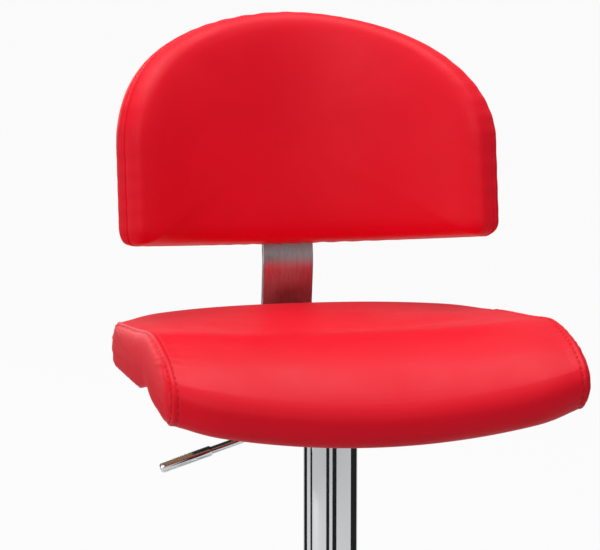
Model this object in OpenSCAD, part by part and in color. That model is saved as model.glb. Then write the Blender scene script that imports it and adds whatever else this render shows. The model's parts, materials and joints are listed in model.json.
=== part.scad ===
// Rolling stylist stool: padded seat and wrap-round backrest on a gas lift and a five-leg caster base.
// Millimetres, +Z up. The origin is on the floor, on the axis of the column.
// The sitter faces -Y, and the lever is on the sitter's right, at -X.

/* [Seat] */
// Height of the seat's top datum above the floor, with the gas lift fully down
seat_z = 455; // [445:1:465]
// Distance between the two side seams
seat_w = 373; // [360:1:390]
// Reach of the seat behind the column
seat_rear = 158; // [152:1:162]
// Reach of the seat in front of the column
seat_front = 211; // [204:1:218]
// Depth of the front lip's lowest edge below the datum
lip_drop = 89; // [84:1:94]
// Depth of the dished middle below the datum
dish_depth = 16; // [8:1:18]
// How far the padded side panels bulge out of the seam plane
side_bulge = 10; // [6:1:14]
// Thickness of the vinyl
vinyl = 1.2; // [0.8:0.1:1.6]
// Thickness of the plywood in the seat
board_t = 11; // [9:1:12]

/* [Backrest] */
// Height of the backrest's lower edge above the floor
back_z = 505.6; // [500:0.2:512]
// Height of the backrest along its face
back_h = 223; // [210:1:236]
// Width of the backrest along its curve
back_w = 405; // [380:5:420]
// Radius to which the backrest wraps round the sitter
back_r = 206; // [200:1:240]
// Thickness of the padded backrest
back_t = 44; // [40:1:48]
// Lean of the backrest
recline = 8; // [4:0.5:12]
// Distance of the backrest's middle surface behind the column, at its lower edge
back_y = 150; // [146:1:154]

/* [Back bar] */
// Width of the flat steel bar
bar_w = 50; // [44:1:56]
// Thickness of the bar
bar_t = 6; // [5:0.5:7]
// Radius of the bend under the seat, at the middle of the bar
bar_bend_r = 28; // [24:1:32]
// Height of the bar's top end
bar_top = 602; // [590:1:620]

/* [Column and gas lift] */
// Outer diameter of the column tube
tube_d = 50; // [48:1:52]
// Height of the column tube's top end
tube_top = 338; // [334:1:339]
// Diameter of the gas cylinder
cylinder_d = 28; // [28:0.5:29]
// Diameter of the piston rod
rod_d = 10; // [8:0.5:10]
// Running clearance on the radius of every turning or sliding fit
running = 0.05; // [0.02:0.01:0.08]

/* [Lever] */
// Height of the lever's inner end and pivot
lever_z = 382; // [381.5:0.1:382.5]
// Diameter of the lever rod
lever_d = 7; // [6:0.5:7]
// Diameter of the lever's grip
grip_d = 9.6; // [9:0.2:11]
// Reach of the lever from the column axis
lever_reach = 158; // [150:1:165]

/* [Base] */
// Distance of each caster stem from the column axis
stem_circle_r = 272; // [250:1:290]
// Number of legs
leg_count = 5; // [5:1:5]

/* [Casters] */
// Wheel diameter
wheel_d = 50; // [50:1:50]
// Width of one wheel
wheel_w = 16; // [14:1:17]
// Distance of the wheel axle behind the swivel axis
trail = 20; // [19:1:21]

/* [Hidden] */
$fn = 64;

red = [0.84, 0.06, 0.12];
black = [0.07, 0.07, 0.08];
steel = [0.66, 0.66, 0.68];
chrome = [0.8, 0.82, 0.84];

// --- seat
hump = -3;                           // heights of the front hump and rear rim over the datum
rim = -5.4;
hump_y = -0.42 * seat_front;
rim_y = seat_rear - 22;
stations = 22;                       // stations across the seat, from seam to seam
under = seat_z - 53.6;               // flat underside of the vinyl
foam_board = under + vinyl + board_t;
board_first = 30;                    // loop points between which the plywood lies
board_last = 38;
clearance = 0.1;                     // between upholstery layers that lie on one another
dust_t = 0.8;
dust_x = 140;
dust_y = [-58, 95];

// --- seat plate: a pressed pan with a flange, and a tapered socket for the gas cylinder
plate_t = 2.5;
plate_top = under - dust_t;
flange_w = 180;
pan_r_top = 60;
pan_r_bottom = 46;
pan_z = 352;
socket_r = 20;
socket_bottom = 346;
cylinder_top = 374;
taper_start = 342;
taper = 0.025;                       // radius lost for each millimetre of height, above taper_start
plate_bolt_at = 75;
bar_bolts_at = [[-14, 108], [14, 108], [0, 128]];
seat_bolts_at = concat([for (x = [-1, 1], y = [-1, 1]) [x * plate_bolt_at, y * plate_bolt_at]],
                       bar_bolts_at);

// --- fasteners (M6)
bolt_r = 3;
hole_r = 3.3;
head_r = 6;
head_h = 3.4;
washer_r = 7.5;
washer_t = 1.2;
t_nut_r = 4;
t_nut_flange_r = 9;
t_nut_flange_t = 1.5;

// --- column, from its lower end up
tube_r = tube_d / 2;
tube_wall = 2;
tube_bottom = 62;
end_plate_t = 6;
washer_lower_z = tube_bottom + end_plate_t;
thrust_washer_t = 2;
ball_r = 2;
ball_gap = 0.1;
ball_circle_r = 10.5;
ball_count = 12;
thrust_r = 15;
ball_z = washer_lower_z + thrust_washer_t + ball_gap + ball_r;
washer_upper_z = ball_z + ball_r + ball_gap;
bump_z = washer_upper_z + thrust_washer_t;
bump_h = 12;
cylinder_bottom = bump_z + bump_h + 0.3;
rod_r = rod_d / 2;
rod_bottom = 56;
clip_z = 60;
clip_t = 1.6;
clip_r = 9;
cylinder_r = cylinder_d / 2;
cylinder_bore_r = 12;
gland_h = 16;
piston_top = 338;
piston_h = 16;
bush_depth = 68;
bush_flange_t = 2.5;
pin_r = 3;
pin_bottom = 350;
lever_r = lever_d / 2;
pin_gap = 0.3;
pin_top = lever_z - lever_r - pin_gap;

// --- lever
pivot_x = -41;
pivot_r = 1.5;
ear_t = 2.5;
ear_gap = lever_r + 1;
lever_inner_x = 7;
lever_bend_x = -62;
lever_low = [-78, 345.5];
lever_end = [-lever_reach, 320.6];
lever_bend_r = 10;
bend_lap = 0.5;                      // how far a straight part runs on into a bend
bend_thinning = 0.04;                // radius that the rod loses where it is bent
grip_l = 48;

// --- base and casters
hub_r = 33;
hub_bottom = 60;
hub_top = 124;
leg_start_r = 27;
leg_w = 36;
leg_top = [116, 86];                 // at the hub and at the nose
leg_bottom = [70, 62.6];
nose_r = 16;
stem_r = 5.5;
stem_top = 80;
ring_z = 72;
ring_h = 3;
ring_groove_r = 4.6;
collar_r = 9;
collar_t = 2;
swivel_r = 4.75;
swivel_bottom = 37;
wheel_r = wheel_d / 2;
web_half = 7.5;
wheel_gap = 0.5;
hood_top = leg_bottom[1] - collar_t - 0.3;
hood_boss_r = 10;
fender_gap = 1;
fender_t = 2.5;
fender_half = 22;
axle_r = 3;
tread_r = 21;
hub_cap_t = 1.7;

// ---------------------------------------------------------------- general functions

// Point at parameter s of a Catmull-Rom curve through p1 and p2
function spline(p0, p1, p2, p3, s) =
    0.5 * (2 * p1 + (p2 - p0) * s + (2 * p0 - 5 * p1 + 4 * p2 - p3) * s * s
           + (3 * p1 - p0 - 3 * p2 + p3) * s * s * s);

// Closed smooth curve through control points, with `steps` points for each of them
function closed_spline(c, steps) = let (n = len(c))
    [for (i = [0 : n - 1], k = [0 : steps - 1])
        spline(c[(i + n - 1) % n], c[i], c[(i + 1) % n], c[(i + 2) % n], k / steps)];

// A closed anticlockwise loop moved inwards by d
function inset(loop, d) = let (n = len(loop))
    [for (i = [0 : n - 1]) let (v = loop[(i + 1) % n] - loop[(i + n - 1) % n])
        loop[i] + d * [-v.y, v.x] / norm(v)];

function clamp(v) = max(0, min(1, v));
function reversed(list) = [for (i = [len(list) - 1 : -1 : 0]) list[i]];
function middle(loop) = let (a = [for (p = loop) p.x], b = [for (p = loop) p.y])
    [(max(a) + min(a)) / 2, (max(b) + min(b)) / 2];

function flipped(faces) = [for (f = faces) reversed(f)];
function shifted(faces, by) = [for (f = faces) [for (v = f) v + by]];

// Faces between points a to b of one row and the same points of the row `by` later
function band(a, b, by) = [[a, b, b + by], [a, b + by, a + by]];

// Faces of the skin between successive rings of n points, which may be left open
function skin_faces(m, n, open = false) = [for (i = [0 : m - 2], j = [0 : n - (open ? 2 : 1)])
    let (a = i * n + j, b = i * n + (j + 1) % n)
    each [[a, a + n, b + n], [a, b + n, b]]];

// Fan from a point to the ring that starts at the given index
function fan(tip, start, n) = [for (j = [0 : n - 1]) [tip, start + j, start + (j + 1) % n]];

// Solid through equal rings, closed at each end by a fan to a point
module loft(rings, first, last, flip = false) {
    m = len(rings);
    n = len(rings[0]);
    faces = concat(skin_faces(m, n), fan(m * n, 0, n), flipped(fan(m * n + 1, (m - 1) * n, n)));
    polyhedron(concat([for (r = rings) each r], [first, last]), flip ? flipped(faces) : faces);
}

// Thin skin between equal rings outside and inside, open at one end.
// The other end is closed by fans to the outer and inner of two tips.
module shell(outer, inner, tips, tips_first, flip = false) {
    m = len(outer);
    n = len(outer[0]);
    c = m * n;
    end = c - n;
    open_end = tips_first ? [for (j = [0 : n - 1]) each band(end + (j + 1) % n, end + j, c)]
                          : [for (j = [0 : n - 1]) each band(j, (j + 1) % n, c)];
    closed_end = tips_first ? concat(fan(2 * c, 0, n), flipped(fan(2 * c + 1, c, n)))
                            : concat(flipped(fan(2 * c, end, n)), fan(2 * c + 1, c + end, n));
    skin = skin_faces(m, n);
    faces = concat(skin, flipped(shifted(skin, c)), open_end, closed_end);
    polyhedron(concat([for (r = outer) each r], [for (r = inner) each r], tips),
               flip ? flipped(faces) : faces);
}

// Solid between two equal grids of points, the first outside and the second inside
module sheet(outer, inner) {
    m = len(outer);
    n = len(outer[0]);
    c = m * n;
    skin = skin_faces(m, n, open = true);
    polyhedron(concat([for (r = outer) each r], [for (r = inner) each r]),
               concat(skin, flipped(shifted(skin, c)),
                      [for (j = [0 : n - 2]) each concat(band(j, j + 1, c), band(c - n + j + 1, c - n + j, c))],
                      [for (i = [0 : m - 2]) each concat(band((i + 1) * n, i * n, c),
                                                         band((i + 1) * n - 1, (i + 2) * n - 1, c))]));
}

// Ring between two radii, along +Z
module tube(r_out, r_in, h) {
    rotate_extrude() translate([r_in, 0]) square([r_out - r_in, h]);
}

module rounded_rect(w, l, r) {
    square([w - 2 * r, l], center = true);
    square([w, l - 2 * r], center = true);
    for (x = [-1, 1], y = [-1, 1]) translate([x * (w / 2 - r), y * (l / 2 - r)]) circle(r);
}

// ---------------------------------------------------------------- seat shape

// Control points (y, height above the datum) of the side profile at the middle of the seat
function seat_profile() = let (r = seat_rear, f = -seat_front,
                               dish = -dish_depth, low = -lip_drop, flat = -53.6)
    [[r, -22], [r - 4, rim - 10], [rim_y, rim], [r - 60, dish + (rim - dish) * 0.45],
     [r * 0.35, dish + 1], [0, dish], [f * 0.22, dish + (hump - dish) * 0.5],
     [hump_y, hump], [f * 0.6, hump - 3], [f * 0.79, hump - 16], [f * 0.94, hump - 38],
     [f, -60], [f * 0.975, low + 9], [f * 0.89, low], [f * 0.76, low + 8],
     [f * 0.6, flat - 12], [f * 0.46, flat], [0, flat], [r * 0.8, flat], [r * 0.93, flat + 5],
     [r - 1, flat + 20]];

// Side profile at t, from -1 at one seam to 1 at the other: shorter, higher in front and rounded off,
// with a dish that fades out towards the seams
function seat_section(t) = let (
        raw = [for (p = closed_spline(seat_profile(), 2))
            let (front = clamp((-p.x - 60) / 110), top = clamp((p.y + 45) / 40),
                 back = clamp((p.x + 90) / 220),
                 chord = hump + (rim - hump) * (p.x - hump_y) / (rim_y - hump_y),
                 dip = p.y < -45 || p.x < hump_y || p.x > rim_y ? 0 : max(0, chord - p.y),
                 z = p.y < -45 && p.x > -98 && p.x < 128 ? under - seat_z : p.y + dip * t * t,
                 lift = 11.2 - 13.7 * back,
                 shorten = p.x < 0 ? 0.055 * t * t : 0.4 * pow(abs(t), 2.9))
            [p.x * (1 - shorten), z + t * t * (lift * top + 21.7 * (1 - top) * front)]],
        c = middle(raw),
        edge = 0.067 * pow(max(0, (abs(t) - 0.75) / 0.25), 2))
    [for (p = raw) [c.x + (p.x - c.x) * (1 - edge),
                    seat_z + c.y + (p.y - c.y) * (1 - 1.8 * edge)]];

function at_x(loop, x) = [for (p = loop) [x, p.x, p.y]];
function station(i) = 2 * i / stations - 1;

// Scales a side profile about its middle, for the bulging side panels
function shrunk(loop, s) = let (c = middle(loop)) [for (p = loop) c + (p - c) * s];

// Rings of a side panel's dome, from near its middle out towards the seam plane
function dome(loop, side, bulge, last_angle) = [for (a = [12 : 13 : last_angle])
    at_x(shrunk(loop, sin(a)), side * (seat_w / 2 + bulge * cos(a)))];

// ---------------------------------------------------------------- backrest shape

function back_outline() = let (
        a = back_w / 2, side = back_h * 0.42, e = 2 / 1.85, corner = 14,
        arch = [for (k = [0 : 36]) let (c = cos(k * 5), s = sin(k * 5))
            [a * sign(c) * pow(abs(c), e), side + (back_h - side) * pow(s, e)]],
        left = [for (q = [0 : 22.5 : 90]) [corner - a - corner * cos(q), corner - corner * sin(q)]],
        bottom = [for (k = [1 : 5]) [(a - corner) * (k / 3 - 1), 0]])
    concat(arch, left, bottom, [for (p = reversed(left)) [-p.x, p.y]]);

back_centre = [0, back_h * 0.45];

// Wraps a point of the flat pattern (u across, v up, w through the thickness) round the sitter
function wrap_back(u, v, w) = let (
        turn = u / back_r * 180 / PI,
        x = (back_r + w) * sin(turn), y = (back_r + w) * cos(turn) - back_r)
    [x, back_y + y * cos(recline) + v * sin(recline),
     back_z + v * cos(recline) - y * sin(recline)];

// Ring of the backrest: outline scaled by s, inset by d, at thickness w
function back_ring(s, w, d = 0) =
    [for (p = inset([for (q = back_outline()) back_centre + (q - back_centre) * s], d))
        wrap_back(p.x, p.y, w)];
function back_mid(w) = wrap_back(0, back_centre.y, w);

// Rounded front edge of the backrest: [scale, share of the half thickness]
front_curve = [[0.2, -1], [0.4, -1], [0.55, -0.995], [0.7, -0.98], [0.85, -0.92], [0.94, -0.76],
               [0.985, -0.46], [1, -0.05], [1, 0.4]];
rear_curve = [[1, 0.42], [0.99, 0.68], [0.965, 0.87], [0.92, 0.97], [0.8, 1], [0.6, 1], [0.4, 1], [0.2, 1]];
back_half = back_t / 2;
board_w = [back_half - vinyl - 9, back_half - vinyl];
board_s = 0.93;

// Puts children on the bar's line behind the backrest, v up its face, +Z out of the rear
module on_back(v, w) {
    translate(wrap_back(0, v, w)) rotate([-90 - recline, 0, 0]) children();
}
back_bolts_at = [22, 50, 78];
mount_slot = [14, 86];               // heights between which the rear panel is open behind the bar

// ---------------------------------------------------------------- fastener shapes

module bolt(length) {
    translate([0, 0, -head_h]) difference() {
        cylinder(r = head_r, h = head_h);
        translate([0, 0, -1]) cylinder(r = 2.3, h = 3, $fn = 6);
    }
    cylinder(r = bolt_r, h = length);
}

module t_nut(length) {
    tube(t_nut_r, bolt_r, length);
    translate([0, 0, length]) tube(t_nut_flange_r, bolt_r, t_nut_flange_t);
}

// ---------------------------------------------------------------- base

module at_legs() {
    for (i = [0 : leg_count - 1]) rotate(-90 + i * 360 / leg_count) children();
}

// Straight tapered leg with rounded edges and a round nose over the caster stem
module leg() hull() {
    $fn = 32;
    translate([leg_start_r, 0, (leg_top[0] + leg_bottom[0]) / 2]) rotate([0, 90, 0]) linear_extrude(1)
        rounded_rect(leg_top[0] - leg_bottom[0], leg_w, 11);
    translate([stem_circle_r, 0, leg_bottom[1]]) cylinder(r = nose_r - 4, h = leg_top[1] - leg_bottom[1]);
    translate([stem_circle_r, 0, leg_bottom[1] + 1.2])
        cylinder(r = nose_r - 1.2, h = leg_top[1] - leg_bottom[1] - 2.4);
    translate([stem_circle_r, 0, leg_bottom[1] + 4]) cylinder(r = nose_r, h = leg_top[1] - leg_bottom[1] - 8);
}

module base_star() color(chrome) difference() {
    union() {
        rotate_extrude() polygon([[tube_r, hub_bottom], [hub_r - 2, hub_bottom],
            [hub_r, hub_bottom + 2], [hub_r, hub_top - 12], [hub_r - 2, hub_top - 5],
            [hub_r - 5, hub_top - 1], [hub_r - 6, hub_top], [tube_r, hub_top]]);
        at_legs() leg();
    }
    at_legs() translate([stem_circle_r, 0, leg_bottom[1] - 1])
        cylinder(r = stem_r, h = stem_top - leg_bottom[1] + 1);
}

module caster_stems() color(steel) at_legs() translate([stem_circle_r, 0, 0]) difference() {
    union() {
        translate([0, 0, swivel_bottom]) cylinder(r = swivel_r, h = leg_bottom[1] - swivel_bottom);
        translate([0, 0, leg_bottom[1] - collar_t]) cylinder(r = collar_r, h = collar_t);
        translate([0, 0, leg_bottom[1] - 0.5]) cylinder(r = stem_r, h = stem_top - leg_bottom[1] + 0.5);
    }
    translate([0, 0, ring_z]) tube(stem_r + 1, ring_groove_r, ring_h);
}

module caster_grip_rings() color(steel) at_legs()
    translate([stem_circle_r, 0, ring_z]) tube(stem_r, ring_groove_r, ring_h);

// Puts children in caster i, with the swivel axis at the origin and the wheels trailing towards +Y
module at_caster(i) {
    angle = -90 + (i - 1) * 360 / leg_count;
    translate([stem_circle_r * cos(angle), stem_circle_r * sin(angle), 0]) children();
}
// Puts children on the wheel axle, with +Z along the axle
module on_axle(i) {
    at_caster(i) translate([0, trail, wheel_r]) rotate([0, 90, 0]) children();
}

module caster_hood(i) color(black) {
    fender_r = wheel_r + fender_gap;
    difference() {
        union() {
            at_caster(i) translate([-web_half, -hood_boss_r, wheel_r + 4])
                cube([2 * web_half, hood_boss_r + trail, 20]);
            on_axle(i) translate([0, 0, -web_half]) cylinder(r = 12, h = 2 * web_half);
            at_caster(i) translate([0, 0, wheel_r + 24]) cylinder(r = hood_boss_r, h = hood_top - wheel_r - 24);
            on_axle(i) translate([0, 0, -fender_half]) linear_extrude(2 * fender_half) difference() {
                circle(fender_r + fender_t);
                circle(fender_r);
                translate([-3, -fender_r * 2]) square(fender_r * 4);
            }
            on_axle(i) translate([0, 0, -web_half]) linear_extrude(2 * web_half) intersection() {
                circle(fender_r + 1);
                translate([-fender_r * 2 - 3, -fender_r * 2]) square([fender_r * 2, fender_r * 4]);
            }
        }
        at_caster(i) translate([0, 0, swivel_bottom - 0.5])
            cylinder(r = swivel_r + running, h = hood_top - swivel_bottom + 1);
        on_axle(i) translate([0, 0, -web_half - 1]) cylinder(r = axle_r, h = 2 * web_half + 2);
    }
}

axle_half = web_half + wheel_gap + wheel_w - hub_cap_t - 0.4;

module caster_axle(i) color(steel) on_axle(i)
    translate([0, 0, -axle_half]) cylinder(r = axle_r, h = 2 * axle_half);

// Wheel with its tread as a second solid, side -1 at -X and 1 at +X
module caster_wheel(i, side) color(black) on_axle(i) {
    inner = web_half + wheel_gap;
    outer = inner + wheel_w;
    mirror([0, 0, side < 0 ? 1 : 0]) {
        rotate_extrude() polygon([[axle_r + running, inner], [tread_r, inner], [tread_r, outer],
            [17, outer], [15.5, outer - 1.5], [9, outer - 1.5], [8, outer], [0, outer],
            [0, outer - hub_cap_t], [axle_r + running, outer - hub_cap_t]]);
        rotate_extrude() polygon([[tread_r, inner], [wheel_r - 1.5, inner], [wheel_r - 0.4, inner + 0.8],
            [wheel_r, inner + 2.5], [wheel_r, outer - 4], [wheel_r - 0.6, outer - 1.6],
            [wheel_r - 2, outer], [tread_r, outer]]);
    }
}

// ---------------------------------------------------------------- column and gas lift

module column_tube() color(chrome) translate([0, 0, tube_bottom])
    tube(tube_r, tube_r - tube_wall, tube_top - tube_bottom);

module column_end_plate() color(steel) translate([0, 0, tube_bottom])
    tube(tube_r - tube_wall, rod_r + running, end_plate_t);

module column_bush() color(black) {
    translate([0, 0, tube_top - bush_depth])
        tube(tube_r - tube_wall, cylinder_r + running, bush_depth);
    translate([0, 0, tube_top]) tube(tube_r, cylinder_r + running, bush_flange_t);
}

module thrust_washer_lower() color(steel) translate([0, 0, washer_lower_z])
    tube(thrust_r, rod_r + 1, thrust_washer_t);

module thrust_balls() color(chrome) for (k = [0 : ball_count - 1])
    rotate(k * 360 / ball_count) translate([ball_circle_r, 0, ball_z]) sphere(ball_r);

module thrust_washer_upper() color(steel) translate([0, 0, washer_upper_z])
    tube(thrust_r, rod_r, thrust_washer_t);

module bump_stop() color(black) translate([0, 0, bump_z]) tube(cylinder_r, rod_r, bump_h);

module rod_clip() color(steel) translate([0, 0, clip_z]) tube(clip_r, rod_r, clip_t);

module piston_rod() color(steel) translate([0, 0, rod_bottom])
    cylinder(r = rod_r, h = piston_top - rod_bottom);

module piston() color(black) translate([0, 0, piston_top - piston_h])
    tube(cylinder_bore_r - running, rod_r, piston_h);

module cylinder_gland() color(black) translate([0, 0, cylinder_bottom])
    tube(cylinder_bore_r, rod_r + running, gland_h);

function taper_r(z) = cylinder_r - (z - taper_start) * taper;

module gas_cylinder() color(black) rotate_extrude() polygon([
    [cylinder_bore_r, cylinder_bottom], [cylinder_r, cylinder_bottom], [cylinder_r, taper_start],
    [taper_r(cylinder_top), cylinder_top], [cylinder_bore_r, cylinder_top]]);

module valve_block() color(steel) translate([0, 0, taper_start])
    tube(cylinder_bore_r, pin_r + running, cylinder_top - taper_start);

module release_pin() color(steel) translate([0, 0, pin_bottom])
    cylinder(r = pin_r, h = pin_top - pin_bottom);

// ---------------------------------------------------------------- seat plate and lever

module seat_plate() color(black) difference() {
    union() {
        translate([0, 0, plate_top - plate_t]) linear_extrude(plate_t)
            rounded_rect(flange_w, flange_w, 18);
        rotate_extrude() polygon([[socket_r - 1, pan_z], [pan_r_bottom, pan_z],
            [pan_r_top, plate_top - plate_t], [pan_r_top, plate_top], [socket_r - 1, plate_top]]);
        translate([0, 0, socket_bottom]) cylinder(r = socket_r, h = pan_z - socket_bottom + 1);
    }
    difference() {
        rotate_extrude() polygon([[0, pan_z + plate_t], [pan_r_bottom - plate_t, pan_z + plate_t],
            [pan_r_top - plate_t, plate_top - plate_t], [pan_r_top - plate_t, plate_top + 1],
            [0, plate_top + 1]]);
        cylinder(r = socket_r, h = cylinder_top);
        for (side = [-1, 1]) translate([pivot_x - 5, side * (ear_gap + ear_t / 2) - ear_t / 2, pan_z])
            cube([9, ear_t, lever_z + 6 - pan_z]);
    }
    rotate_extrude() polygon([[0, socket_bottom - 1], [taper_r(socket_bottom - 1), socket_bottom - 1],
        [taper_r(cylinder_top + 1), cylinder_top + 1], [0, cylinder_top + 1]]);
    translate([pivot_x, ear_gap + ear_t + 1, lever_z]) rotate([90, 0, 0])
        cylinder(r = pivot_r + running, h = 2 * (ear_gap + ear_t + 1));
    translate([-pan_r_top - 8, 0, lever_z]) rotate([0, 90, 0]) cylinder(r = 6.5, h = 20);
    for (p = seat_bolts_at) if (abs(p.x) == plate_bolt_at)
        translate([p.x, p.y, plate_top - plate_t - 1]) cylinder(r = hole_r, h = plate_t + 2);
}

// Round rod between two points [x, z] in the plane of the lever
module rod_between(a, b, r) {
    d = b - a;
    translate([a.x, 0, a.y]) rotate([0, atan2(d.x, d.y), 0]) cylinder(r = r, h = norm(d));
}

lever_path = [[lever_inner_x, lever_z], [lever_bend_x, lever_z], lever_low, lever_end];
function lever_way(k) = (lever_path[k + 1] - lever_path[k]) / norm(lever_path[k + 1] - lever_path[k]);
function lever_turn(k) = acos(lever_way(k - 1) * lever_way(k));
// Straight length that the bend at corner k takes up on each side, none at the two ends
function bend_reach(k) = k == 0 || k == 3 ? 0 : lever_bend_r * tan(lever_turn(k) / 2);

// Bent part of the lever at corner k
module lever_bend(k) {
    way = lever_way(k - 1);
    next = lever_way(k);
    side = sign(way.x * next.y - way.y * next.x);
    start = lever_path[k] - way * bend_reach(k);
    centre = start + side * lever_bend_r * [-way.y, way.x];
    angle = atan2(start.y - centre.y, start.x - centre.x);
    translate([centre.x, 0, centre.y]) rotate([90, 0, 0])
        rotate([0, 0, side > 0 ? angle : angle - lever_turn(k)])
            rotate_extrude(angle = lever_turn(k)) translate([lever_bend_r, 0])
                circle(lever_r - bend_thinning);
}

grip_start = lever_end + (lever_low - lever_end) / norm(lever_low - lever_end) * grip_l;

module lever_rod() color(chrome) difference() {
    union() {
        for (k = [0 : 2]) rod_between(lever_path[k] + lever_way(k) * max(0, bend_reach(k) - bend_lap),
            lever_path[k + 1] - lever_way(k) * max(0, bend_reach(k + 1) - bend_lap), lever_r);
        for (k = [1 : 2]) lever_bend(k);
    }
    translate([pivot_x, lever_d, lever_z]) rotate([90, 0, 0]) cylinder(r = pivot_r, h = 2 * lever_d);
}

module lever_grip() color(chrome) {
    axis = lever_end - grip_start;
    translate([grip_start.x, 0, grip_start.y]) rotate([0, atan2(axis.x, axis.y), 0]) rotate_extrude()
        polygon([[lever_r, 0], [grip_d / 2 - 0.8, 0], [grip_d / 2, 1.2], [grip_d / 2, grip_l],
                 [grip_d / 2 - 1.6, grip_l + 2], [0, grip_l + 2], [0, grip_l], [lever_r, grip_l]]);
}

module lever_pivot_pin() color(steel) translate([pivot_x, ear_gap + ear_t + 0.6, lever_z])
    rotate([90, 0, 0]) cylinder(r = pivot_r, h = 2 * (ear_gap + ear_t + 0.6));

// ---------------------------------------------------------------- seat

// Side profile of what the vinyl holds, at station i
function stuffing(i) = inset(seat_section(station(i)), vinyl + clearance);
function under_points(loop, lift, trim) = [for (k = [board_first : board_last])
    loop[k] + [k == board_first ? trim : k == board_last ? -trim : 0, lift]];
function foam_loop(loop) = concat([for (k = [0 : board_first]) loop[k]],
                                  under_points(loop, board_t + 3 * clearance, 0),
                                  [for (k = [board_last : len(loop) - 1]) loop[k]]);

module seat_board() color("burlywood") difference() {
    sheet([for (i = [0 : stations]) at_x(under_points(stuffing(i), 0, 2 * clearance), station(i) * seat_w / 2)],
          [for (i = [0 : stations])
              at_x(under_points(stuffing(i), board_t, 2 * clearance), station(i) * seat_w / 2)]);
    for (p = seat_bolts_at) translate([p.x, p.y, under]) {
        cylinder(r = t_nut_r, h = board_t + 3);
        translate([0, 0, vinyl + board_t - t_nut_flange_t]) cylinder(r = t_nut_flange_r, h = 4);
    }
}

module seat_foam() color("khaki") {
    edge = foam_loop(stuffing(stations));
    c = middle(edge);
    bulge = side_bulge - vinyl - clearance;
    far = seat_w / 2 + bulge;
    loft(concat(dome(edge, -1, bulge, 77),
                [for (i = [0 : stations]) at_x(foam_loop(stuffing(i)), station(i) * seat_w / 2)],
                reversed(dome(edge, 1, bulge, 77))),
         [-far, c.x, c.y], [far, c.x, c.y]);
}

// Main vinyl panel: tucked under the plywood at both ends, with open sides
module seat_cover() color(red) {
    n = len(seat_section(0));
    order = concat([for (k = [board_last - 1 : n - 1]) k], [for (k = [0 : board_first + 1]) k]);
    sheet([for (i = [0 : stations]) let (loop = seat_section(station(i)))
               at_x([for (k = order) loop[k]], station(i) * seat_w / 2)],
          [for (i = [0 : stations]) let (loop = inset(seat_section(station(i)), vinyl))
               at_x([for (k = order) loop[k]], station(i) * seat_w / 2)]);
}

module side_panel(side) {
    loop = seat_section(1);
    c = middle(loop);
    outer = dome(loop, side, side_bulge, 90);
    inner = dome(inset(loop, vinyl), side, side_bulge - vinyl, 90);
    shell(side < 0 ? outer : reversed(outer), side < 0 ? inner : reversed(inner),
          [for (d = [0, vinyl]) [side * (seat_w / 2 + side_bulge - d), c.x, c.y]],
          tips_first = side < 0);
}

module seat_side_panel_left() color(red) side_panel(-1);
module seat_side_panel_right() color(red) side_panel(1);

module seat_dust_cover() color(black) difference() {
    translate([0, (dust_y[0] + dust_y[1]) / 2, under - dust_t]) linear_extrude(dust_t)
        rounded_rect(2 * dust_x, dust_y[1] - dust_y[0], 20);
    for (p = seat_bolts_at) translate([p.x, p.y, under - 2]) cylinder(r = t_nut_r, h = 4);
}

function seat_head_z(p) = (abs(p.x) == plate_bolt_at ? plate_top - plate_t : under - bar_t) - washer_t;

module seat_bolts() color(steel) for (p = seat_bolts_at)
    translate([p.x, p.y, seat_head_z(p)]) bolt(foam_board - 1 - seat_head_z(p));

module seat_washers() color(steel) for (p = seat_bolts_at)
    translate([p.x, p.y, seat_head_z(p)]) tube(washer_r, bolt_r, washer_t);

module seat_t_nuts() color(steel) for (p = seat_bolts_at)
    translate([p.x, p.y, under + vinyl]) t_nut(board_t - t_nut_flange_t);

// ---------------------------------------------------------------- backrest

// Middle line (y, z) of the bar: under the seat, round the bend, leaning forward, then up the backrest
bar_z = under - bar_t / 2;
bend_centre = [152, bar_z + bar_bend_r];
bar_lean = 8;
kink_r = 60;
bar_top_v = (bar_top - back_z) / cos(recline);
bar_on_back = [for (v = [0, bar_top_v]) let (p = wrap_back(0, v, back_half + bar_t / 2)) [p.y, p.z]];
bend_end = bend_centre + bar_bend_r * [cos(bar_lean), sin(bar_lean)];
// Height at which the forward lean meets the line up the backrest
kink_z = (bend_end.x - bar_on_back[0].x + bend_end.y * tan(bar_lean) + bar_on_back[0].y * tan(recline))
         / (tan(bar_lean) + tan(recline));
kink = [bend_end.x - (kink_z - bend_end.y) * tan(bar_lean), kink_z];
kink_tangent = kink_r * tan((bar_lean + recline) / 2);
kink_start = kink - kink_tangent * [-sin(bar_lean), cos(bar_lean)];
kink_centre = kink_start + kink_r * [cos(bar_lean), sin(bar_lean)];
bar_line = concat([[96, bar_z]],
    [for (a = [-90 : 7 : bar_lean]) bend_centre + bar_bend_r * [cos(a), sin(a)]],
    [for (k = [0 : 4]) let (a = 180 + bar_lean - k / 4 * (bar_lean + recline))
        kink_centre + kink_r * [cos(a), sin(a)]],
    [bar_on_back[1]]);

// Unit direction across the line at point i
function across(line, i) = let (v = line[min(i + 1, len(line) - 1)] - line[max(i - 1, 0)])
    [-v.y, v.x] / norm(v);

module back_bar() color(steel) difference() {
    n = len(bar_line);
    rotate([90, 0, 90]) translate([0, 0, -bar_w / 2]) linear_extrude(bar_w)
        polygon(concat([for (i = [0 : n - 1]) bar_line[i] + across(bar_line, i) * bar_t / 2],
                       [for (i = [n - 1 : -1 : 0]) bar_line[i] - across(bar_line, i) * bar_t / 2]));
    for (p = bar_bolts_at) translate([p.x, p.y, bar_z - bar_t]) cylinder(r = hole_r, h = 2 * bar_t);
    for (v = back_bolts_at) on_back(v, back_half - 1) cylinder(r = hole_r, h = bar_t + 2);
}

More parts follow.
